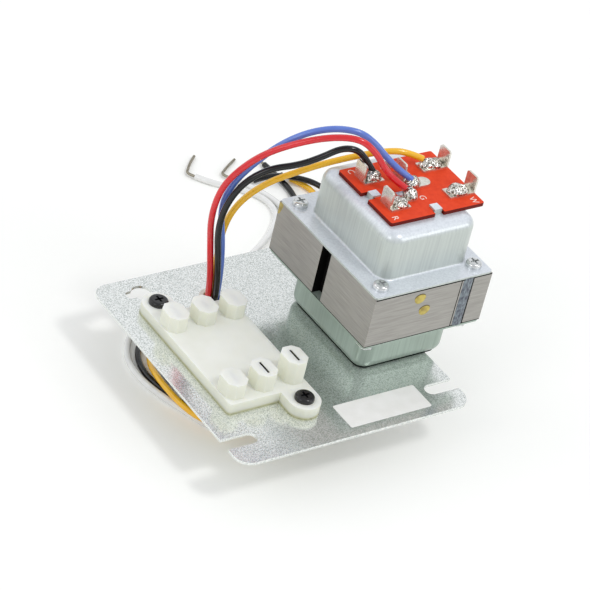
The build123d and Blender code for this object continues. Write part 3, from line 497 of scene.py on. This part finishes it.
class TRANSFORMER_OT_wires(bpy.types.Operator):
    """Draws the jumpers and leads as smooth curves"""

    bl_idname = "transformer.wires"
    bl_label = "Jumpers and leads"

    shades = {
        "red": srgb(212, 10, 26), "black": srgb(5, 5, 6), "blue": srgb(86, 118, 206),
        "yellow": srgb(248, 186, 20), "white": srgb(232, 232, 230),
    }
    # Lengths in millimetres, as in the part
    lengths = {
        "jumper_red": 226.2, "jumper_black": 192.7, "jumper_blue": 158.5, "jumper_yellow": 148.9,
        "lead_white_a": 325.6, "lead_white_b": 199.4, "lead_black_a": 309.8, "lead_black_b": 322.6,
        "lead_yellow": 316.7,
    }

    def execute(self, context):
        settings = context.scene.transformer_wires
        diameter = settings.diameter * MM
        sleeves = {
            colour: surface(colour + " pvc", getattr(settings, colour), shade, rough=0.2, size=6, coat=0.6,
                            specular=0.25 if colour == "black" else 0.5)
            for colour, shade in self.shades.items()
        }
        copper = surface("tinned copper", srgb(176, 170, 154), srgb(112, 104, 88), rough=0.35, metal=0.8,
                         size=0.5)
        for name, points in {**jumper_routes(), **lead_routes()}.items():
            kind, colour = name.split("_")[:2]
            piece = self.wire(context, name, points, diameter, sleeves[colour])
            bare = name.replace("lead", "bare_end") if kind == "lead" else None
            if bare:
                paint(copper, bare)
        return {"FINISHED"}

    def wire(self, context, name, points, diameter, material):
        """A round tube along a smooth spline that has the route's points as its control points."""
        curve = bpy.data.curves.new(name + "_wire", "CURVE")
        curve.dimensions = "3D"
        curve.bevel_depth = diameter / 2
        curve.bevel_resolution = 5
        curve.resolution_u = 8
        curve.use_fill_caps = True
        spline = curve.splines.new("NURBS")
        spline.points.add(len(points) - 1)
        weights = np.ones((len(points), 1))
        spline.points.foreach_set("co", np.hstack([np.array(points) * MM, weights]).ravel())
        spline.order_u = 3
        spline.use_endpoint_u = True
        piece = bpy.data.objects.new(name + "_wire", curve)
        context.scene.collection.objects.link(piece)
        curve.materials.append(material)
        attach(piece, BODY)
        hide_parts(name)
        return piece


class TRANSFORMER_OT_sheet_metal(bpy.types.Operator):
    """Gives the plate, the bells and the fasteners their zinc"""

    bl_idname = "transformer.sheet_metal"
    bl_label = "Plate, bells and fasteners"

    # The lower bell's cup in millimetres: middle, half sizes and corner radius
    cup_middle = (40.3, 0.0)
    cup_half = (21.2, 25.2)
    cup_corner = 6.0
    line_insets = (2.0, 3.2)

    def execute(self, context):
        settings = context.scene.transformer_metal
        plate = surface("galvanised plate", settings.plate, srgb(172, 180, 175), rough=0.17, metal=0.8,
                        size=0.45, detail=3, bump=0.25, low=0.28, high=0.58, relief_mm=0.03)
        paint(plate, "mounting_plate")
        streaks = dict(metal=0.35, size=0.8, stretch=(1, 1, 0.03), detail=3, low=0.3, high=0.7)
        # Painted reflection: lavender-white tops stand for the sky they face, and the side tint makes the
        # walls greener and darker.
        bell = surface("drawn zinc", settings.upper_bell, srgb(216, 221, 228), rough=0.3,
                       side=srgb(219, 222, 211), **streaks)
        paint(bell, "upper_bell")
        # The lower bell's zinc is painted darker and greener than the upper bell's: painted shade and
        # reflection under the core.
        shaded = surface("shaded zinc", settings.lower_bell, srgb(166, 180, 170), rough=0.3,
                         side=srgb(240, 243, 240), **streaks)
        paint(shaded, "lower_bell")
        shadow = surface("shadow line", srgb(52, 60, 54), srgb(36, 42, 38), rough=0.8, size=2.0, specular=0.1)
        self.foot_line(shadow)
        plated = surface("plated steel", srgb(228, 230, 230), srgb(210, 212, 212), rough=0.22, metal=0.9,
                         size=1.5)
        paint(plated, "clamp_screws", "clamp_nuts", "return_spring")
        black = surface("black screws", srgb(24, 24, 26), srgb(14, 14, 16), rough=0.22, metal=0.2, size=1.0,
                        coat=0.3)
        paint(black, "relay_screws")
        bushing = surface("pale nylon", srgb(226, 226, 220), srgb(216, 216, 208), rough=0.5, size=2.0)
        paint(bushing, "jumper_bushing", "lead_bushing")
        return {"FINISHED"}

    def foot_line(self, material):
        """A painted contact shadow: a dark line on the plate below the lower bell's rounded edge.

        It lies between two insets of the cup's outline, whose half sizes and corner radius lose the inset.
        """
        steps = 64
        rings = []
        for inset in self.line_insets:
            half = [side - inset for side in self.cup_half]
            corner = self.cup_corner - inset
            rings.append(rounded_outline(self.cup_middle, half, corner, steps, PLATE_TOP + PAINT))
        mesh_piece("foot_line", np.vstack(rings), ring_faces(2, steps), material, smooth=False)


class TRANSFORMER_OT_core(bpy.types.Operator):
    """Draws the lamination stacks, the weld, the varnish marks and the painted shade in the notch, at the
    flanges and beside the weld
    """

    bl_idname = "transformer.core"
    bl_label = "Core"

    # Middles of the two varnish dots, as x and z
    dots = ((33.2, 40.4), (36.8, 34.2))
    dot_width, dot_height, dot_sag = 2.6, 1.7, 0.9
    dot_rise, edge_rise = 0.16, 0.03
    edge_shift = (-0.15, 0.45)
    # The notch in the core's left face: its mouth, its floor and half its width
    notch_mouth, notch_floor, notch_half = 11.4, 15.3, 2.96
    # Painted shadow lines on the front face, under the upper flange, above the lower flange and on both sides
    # of the weld, as x and z from and to
    front_shadow_lines = (
        (11.5, 66.7, 43.95, CORE_TOP),
        (11.5, 66.7, CORE_LOW, 22.35),
        (52.1, 52.5, 22.2, 44.2),
        (57.7, 58.1, 22.2, 44.2),
    )
    # A painted shadow line on the left face above the lower flange, as y and z from and to
    left_shadow_line = (33.2, -33.2, CORE_LOW, 22.3)
    # The varnish stain on the left face: two quads, as y and z
    stain = (
        ((33.1, 44.4), (33.1, 38.6), (32.0, 39.4), (31.2, 41.6)),
        ((33.1, 44.4), (31.2, 41.6), (30.6, 43.4), (31.0, 44.4)),
    )

    def execute(self, context):
        settings = context.scene.transformer_metal
        iron = surface("lamination edges", settings.core, srgb(150, 147, 141), rough=0.5, metal=0.3, size=0.5,
                       stretch=(0.05, 0.05, 1.0), detail=4, bump=0.15, low=0.25, high=0.75)
        paint(iron, "e_laminations", "i_laminations")
        weld = surface("weld", srgb(136, 146, 152), srgb(80, 82, 94), rough=0.35, metal=0.6, size=0.8,
                       stretch=(1, 1, 0.4), bump=0.4)
        paint(weld, "weld_beads")
        varnish = surface("varnish", srgb(198, 178, 78), srgb(150, 128, 44), rough=0.3, size=3.0, detail=1,
                          coat=0.2)
        edge = surface("old varnish", srgb(96, 84, 40), srgb(66, 56, 26), rough=0.5, size=2.0)
        across, up = self.edge_shift
        for k, (x, z) in enumerate(self.dots):
            self.dot("varnish_dot_%d" % k, x, z, self.dot_rise, varnish)
            self.dot("varnish_edge_%d" % k, x + across, z + up, self.edge_rise, edge)
        # Black that stands for shade: in the notch and in the thin shadow lines at the flanges and beside the
        # weld.
        dark = surface("dark varnish", srgb(16, 15, 14), srgb(10, 10, 9), rough=0.7, size=2.0, specular=0.1)
        self.notch(dark)
        left = CORE_LEFT - PAINT
        shadow_quads = [self.front_patch(*joint) for joint in self.front_shadow_lines]
        shadow_quads.append(self.left_patch(*self.left_shadow_line))
        patches("flange_gaps", dark, shadow_quads)
        patches("varnish_stain", varnish, [[(left, y, z) for y, z in quad] for quad in self.stain])
        return {"FINISHED"}

    def front_patch(self, x0, x1, z0, z1):
        """The corners of an upright patch on the core's front face."""
        y = CORE_FRONT - PAINT
        return ((x0, y, z0), (x1, y, z0), (x1, y, z1), (x0, y, z1))

    def left_patch(self, y0, y1, z0, z1):
        """The corners of an upright patch on the core's left face."""
        x = CORE_LEFT - PAINT
        return ((x, y0, z0), (x, y1, z0), (x, y1, z1), (x, y0, z1))

    def notch(self, material):
        """Painted shade on the notch's three walls, each an upright patch between two corners of its plan."""
        mouth, floor, half = self.notch_mouth, self.notch_floor, self.notch_half
        plan = ((mouth, half), (floor, half), (floor, -half), (mouth, -half))
        walls = [
            ((*a, CORE_LOW), (*b, CORE_LOW), (*b, CORE_TOP), (*a, CORE_TOP))
            for a, b in zip(plan, plan[1:])
        ]
        patches("notch_varnish", material, walls)

    def dot(self, name, x, z, rise, material):
        """A flat dome on the core's front face.

        At share s of its radius and angle a it lies at x plus the width times s cos a, and z plus the height
        times s sin a, less the sag times s times minus sin a below its middle. It stands out by the rise
        times the root of 1 - s squared, above a tenth of the rise and a thin gap.
        """
        rings, turns = 6, 28
        gap = 0.005
        share, angle = polar_grid(rings, turns, inner=0.05)
        across = x + self.dot_width * share * np.cos(angle)
        droop = self.dot_sag * share * np.maximum(0, -np.sin(angle))
        up = z + self.dot_height * share * np.sin(angle) - droop
        out = CORE_FRONT - gap - rise * (0.1 + np.sqrt(1 - share ** 2))
        points = np.stack(np.broadcast_arrays(across, out, up), axis=-1).reshape(-1, 3)
        faces = ring_faces(rings, turns)
        faces.append(range((rings - 1) * turns, rings * turns))
        mesh_piece(name, points, faces, material)


class TRANSFORMER_OT_board(bpy.types.Operator):
    """Dresses the terminal board: fibre, tabs, solder and terminal letters"""

    bl_idname = "transformer.board"
    bl_label = "Terminal board"

    # Each letter's middle, as x and y, and the share of a font's size that a capital's height is
    letters = (("C", 27.25, 15.6), ("R", 26.7, -15.5), ("G", 45.15, -7.6), ("W", 64.2, -15.3))
    capital = 0.7
    letter_turn = -90.0
    letter_rise = 0.03
    # Each mound's middle, as x and y, and its stretch along x
    mounds = (
        (32.5, 9.0, 1.2), (32.5, -9.0, 1.2), (40.6, -5.4, 1.0), (46.2, 0.8, 1.0), (60.7, 9.0, 1.55),
        (60.7, -9.0, 1.55),
    )
    mound_foot = 67.7
    terminals = ("terminal_c", "terminal_r", "terminal_g", "terminal_y", "terminal_w")

    def execute(self, context):
        settings = context.scene.transformer_board
        fibre = surface("red fibre", settings.fibre, srgb(224, 64, 29), rough=0.6, size=2.0, detail=5,
                        specular=0.2, side=srgb(120, 90, 90))
        paint(fibre, "terminal_board")
        tin = surface("tinned tabs", srgb(234, 231, 222), srgb(214, 210, 198), rough=0.24, metal=0.85,
                      size=1.4)
        blades = ["relay_blade_%s_%s" % (row, place)
                  for row in ("front", "rear") for place in ("left", "middle", "right")]
        paint(tin, *self.terminals, "board_eyelets", *blades)
        solder = surface("solder", srgb(246, 244, 238), srgb(112, 106, 92), rough=0.14, metal=0.9, size=0.8,
                         detail=1, bump=0.9, low=0.36, high=0.58, relief_mm=0.5)
        self.solder(settings.solder_radius, settings.solder_height, solder)
        ink = surface("pale ink", settings.ink, srgb(246, 220, 208), rough=0.6, size=1.0)
        for letter, x, y in self.letters:
            self.letter(context, letter, x, y, settings.letter_height, ink)
        return {"FINISHED"}

    def letter(self, context, letter, x, y, height, ink):
        """One printed letter, made a mesh before it is turned and put on the board."""
        text = bpy.data.curves.new("letter_" + letter, "FONT")
        text.body = letter
        text.size = height * MM / self.capital
        text.align_x = "CENTER"
        text.align_y = "CENTER"
        text.extrude = PAINT * MM
        draft = bpy.data.objects.new("draft", text)
        context.scene.collection.objects.link(draft)
        shape = bpy.data.meshes.new_from_object(draft.evaluated_get(context.evaluated_depsgraph_get()))
        bpy.data.objects.remove(draft)
        place = Matrix.Translation((x * MM, y * MM, (BOARD_TOP + self.letter_rise) * MM))
        shape.transform(place @ Matrix.Rotation(math.radians(self.letter_turn), 4, "Z"))
        piece = bpy.data.objects.new("letter_" + letter, shape)
        context.scene.collection.objects.link(piece)
        shape.materials.clear()
        shape.materials.append(ink)
        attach(piece, BODY)

    def solder(self, radius, height, material):
        """Lumpy mounds over the eyelets, in place of the plain caps.

        At share s of the radius R and angle a a mound's height is H (1 - s^2)^0.7 (1 + 0.22 s sin(3 a + p))
        and its radius 0.95 R s (1 + 0.09 cos(2 a + p) + 0.05 cos(5 a - p)), with a phase p for each mound.
        Along x the radius is longer by the mound's stretch.
        """
        rings, turns = 12, 36
        share, angle = polar_grid(rings, turns, inner=0.02)
        x, y, stretch = np.array(self.mounds).T[:, :, None, None]
        phase = 1.7 * np.arange(len(self.mounds))[:, None, None] + 0.4
        lobes = 1 + 0.09 * np.cos(2 * angle + phase) + 0.05 * np.cos(5 * angle - phase)
        r = 0.95 * radius * share * lobes
        h = height * (1 - share ** 2) ** 0.7 * (1 + 0.22 * share * np.sin(3 * angle + phase))
        along, across = stretch * r * np.cos(angle), r * np.sin(angle)
        points = np.stack([x + along, y + across, self.mound_foot + h], axis=-1)
        faces = []
        for start in range(0, len(self.mounds) * rings * turns, rings * turns):
            top = start + (rings - 1) * turns
            faces += ring_faces(rings, turns, start)
            faces.append(range(top, top + turns))
            faces.append(range(start + turns - 1, start - 1, -1))
        piece = mesh_piece("solder_mounds", points.reshape(-1, 3), faces, material)
        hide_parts("solder_joints")


class TRANSFORMER_OT_relay(bpy.types.Operator):
    """Gives the relay its nylon, iron and copper"""

    bl_idname = "transformer.relay"
    bl_label = "Relay and coil"

    # The two open slots in millimetres: x and the height of the painted shade, then half the width, front and
    # back
    open_slots = ((-24.65, 13.3), (-11.35, 15.7))
    slot_half, slot_front, slot_back = 0.51, -25.08, -18.52
    # Height above the plate over which the nylon gets a painted yellow tint for light through its edge
    yellow_rise = 1.2
    spring_anchor = (-0.0205, -0.0094, -0.0114)

    def execute(self, context):
        settings = context.scene.transformer_relay
        rounded_copy("relay_base", settings.edge, self.nylon(settings.nylon))
        # A dark sheet in each open slot is painted shade for its depth.
        depth = surface("slot depth", srgb(40, 36, 30), srgb(24, 22, 18), rough=0.7, size=2.0, specular=0.1)
        patches("tower_slots", depth, [self.slot(x, z) for x, z in self.open_slots])
        spool = surface("spool nylon", srgb(226, 220, 196), srgb(214, 206, 180), rough=0.5, size=4)
        paint(spool, "coil_bobbin", "relay_spool")
        iron = surface("plated iron", srgb(190, 190, 186), srgb(160, 160, 156), rough=0.38, metal=0.85,
                       size=1.5)
        paint(iron, "relay_yoke", "relay_pole", "armature_pin", "relay_armature")
        wound = surface("wound copper", srgb(196, 116, 64), srgb(130, 66, 34), rough=0.35, metal=0.7,
                        size=0.4, stretch=(0.05, 1, 0.05), bump=0.5)
        paint(wound, "relay_winding")
        coil = surface("coil copper", srgb(190, 110, 60), srgb(132, 70, 36), rough=0.35, metal=0.7, size=0.5,
                       stretch=(1, 0.05, 0.05), bump=0.5)
        paint(coil, "primary_winding", "secondary_winding")
        tape = surface("coil tape", srgb(222, 190, 80), srgb(206, 172, 60), rough=0.4, size=3)
        paint(tape, "coil_wrap")
        contact = surface("contact metal", srgb(214, 190, 140), srgb(186, 160, 110), rough=0.3, metal=0.9,
                          size=1.0)
        paint(contact, "contact_leaf", "moving_contact", "fixed_contacts")
        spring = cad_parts["return_spring"]
        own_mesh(spring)
        return {"FINISHED"}

    def nylon(self, colour):
        """Natural nylon that lets some light in, with painted light on top: a yellow tint close to the plate
        for light through its edge, and a yellower side tint on its walls.
        """
        material = surface("natural nylon", colour, srgb(235, 236, 228), rough=0.4, size=12, detail=2,
                           side=srgb(250, 250, 241))
        tree, shader, add = node_group(material)
        shader.inputs["Subsurface Weight"].default_value = 0.6
        shader.inputs["Subsurface Radius"].default_value = (1.0, 0.95, 0.8)
        shader.inputs["Subsurface Scale"].default_value = 4.0 * MM
        place = add("ShaderNodeTexCoord")
        plain = shader.inputs["Base Color"].links[0].from_socket
        # Painted light: the nylon is tinted yellow just above the plate.
        low, high = PLATE_TOP * MM, (PLATE_TOP + self.yellow_rise) * MM
        painted_yellow_glow = tint_low(tree, add, place.outputs["Object"], low, high, plain, srgb(232, 228, 170))
        tree.links.new(painted_yellow_glow, shader.inputs["Base Color"])
        return material

    def slot(self, x, z):
        """The corners of the painted shade patch in one open slot."""
        left, right = x - self.slot_half, x + self.slot_half
        front, back = self.slot_front, self.slot_back
        return ((left, front, z), (right, front, z), (right, back, z), (left, back, z))


class TRANSFORMER_OT_label(bpy.types.Operator):
    """Lays the bare white label on the plate"""

    bl_idname = "transformer.label"
    bl_label = "Bare label"

    middle = (17.5, -45.15)
    corner = 0.8
    thickness = 0.08

    def execute(self, context):
        """A closed sheet between two rounded rectangles, on the plate and a thickness above it."""
        settings = context.scene.transformer_label
        steps = 48
        half = (settings.width / 2, settings.depth / 2)
        rings = [
            rounded_outline(self.middle, half, self.corner, steps, z)
            for z in (PLATE_TOP, PLATE_TOP + self.thickness)
        ]
        faces = ring_faces(2, steps)
        faces.append(range(steps, 2 * steps))
        faces.append(range(steps - 1, -1, -1))
        paper = surface("label paper", settings.paper, srgb(238, 237, 233), rough=0.5, size=5)
        piece = mesh_piece("label", np.vstack(rings), faces, paper, smooth=False)
        return {"FINISHED"}


class TRANSFORMER_PT_panel(bpy.types.Panel):
    """Sidebar panel with the settings and the steps"""

    bl_label = "Transformer"
    bl_idname = "TRANSFORMER_PT_panel"
    bl_space_type = "VIEW_3D"
    bl_region_type = "UI"
    bl_category = "Transformer"

    def draw(self, context):
        for name, group in GROUPS.items():
            box = self.layout.box()
            for key in group.__annotations__:
                box.prop(getattr(context.scene, name), key)
        for step in STEPS:
            self.layout.operator(step.bl_idname)


GROUPS = {
    "transformer_stage": StageSettings,
    "transformer_wires": WireSettings,
    "transformer_metal": MetalSettings,
    "transformer_board": BoardSettings,
    "transformer_relay": RelaySettings,
    "transformer_label": LabelSettings,
}
STEPS = (
    TRANSFORMER_OT_stage,
    TRANSFORMER_OT_wires,
    TRANSFORMER_OT_sheet_metal,
    TRANSFORMER_OT_core,
    TRANSFORMER_OT_board,
    TRANSFORMER_OT_relay,
    TRANSFORMER_OT_label,
)


def register():
    """Registers the settings, the steps and the panel."""
    for name, group in GROUPS.items():
        bpy.utils.register_class(group)
        setattr(bpy.types.Scene, name, bpy.props.PointerProperty(type=group))
    for step in (*STEPS, TRANSFORMER_PT_panel):
        bpy.utils.register_class(step)


def unregister():
    """Removes what register added."""
    for step in reversed((*STEPS, TRANSFORMER_PT_panel)):
        bpy.utils.unregister_class(step)
    for name, group in GROUPS.items():
        delattr(bpy.types.Scene, name)
        bpy.utils.unregister_class(group)


def main():
    """Runs every step."""
    register()
    bpy.ops.transformer.stage()
    bpy.ops.transformer.wires()
    bpy.ops.transformer.sheet_metal()
    bpy.ops.transformer.core()
    bpy.ops.transformer.board()
    bpy.ops.transformer.relay()
    bpy.ops.transformer.label()


if __name__ == "__main__":
    main()
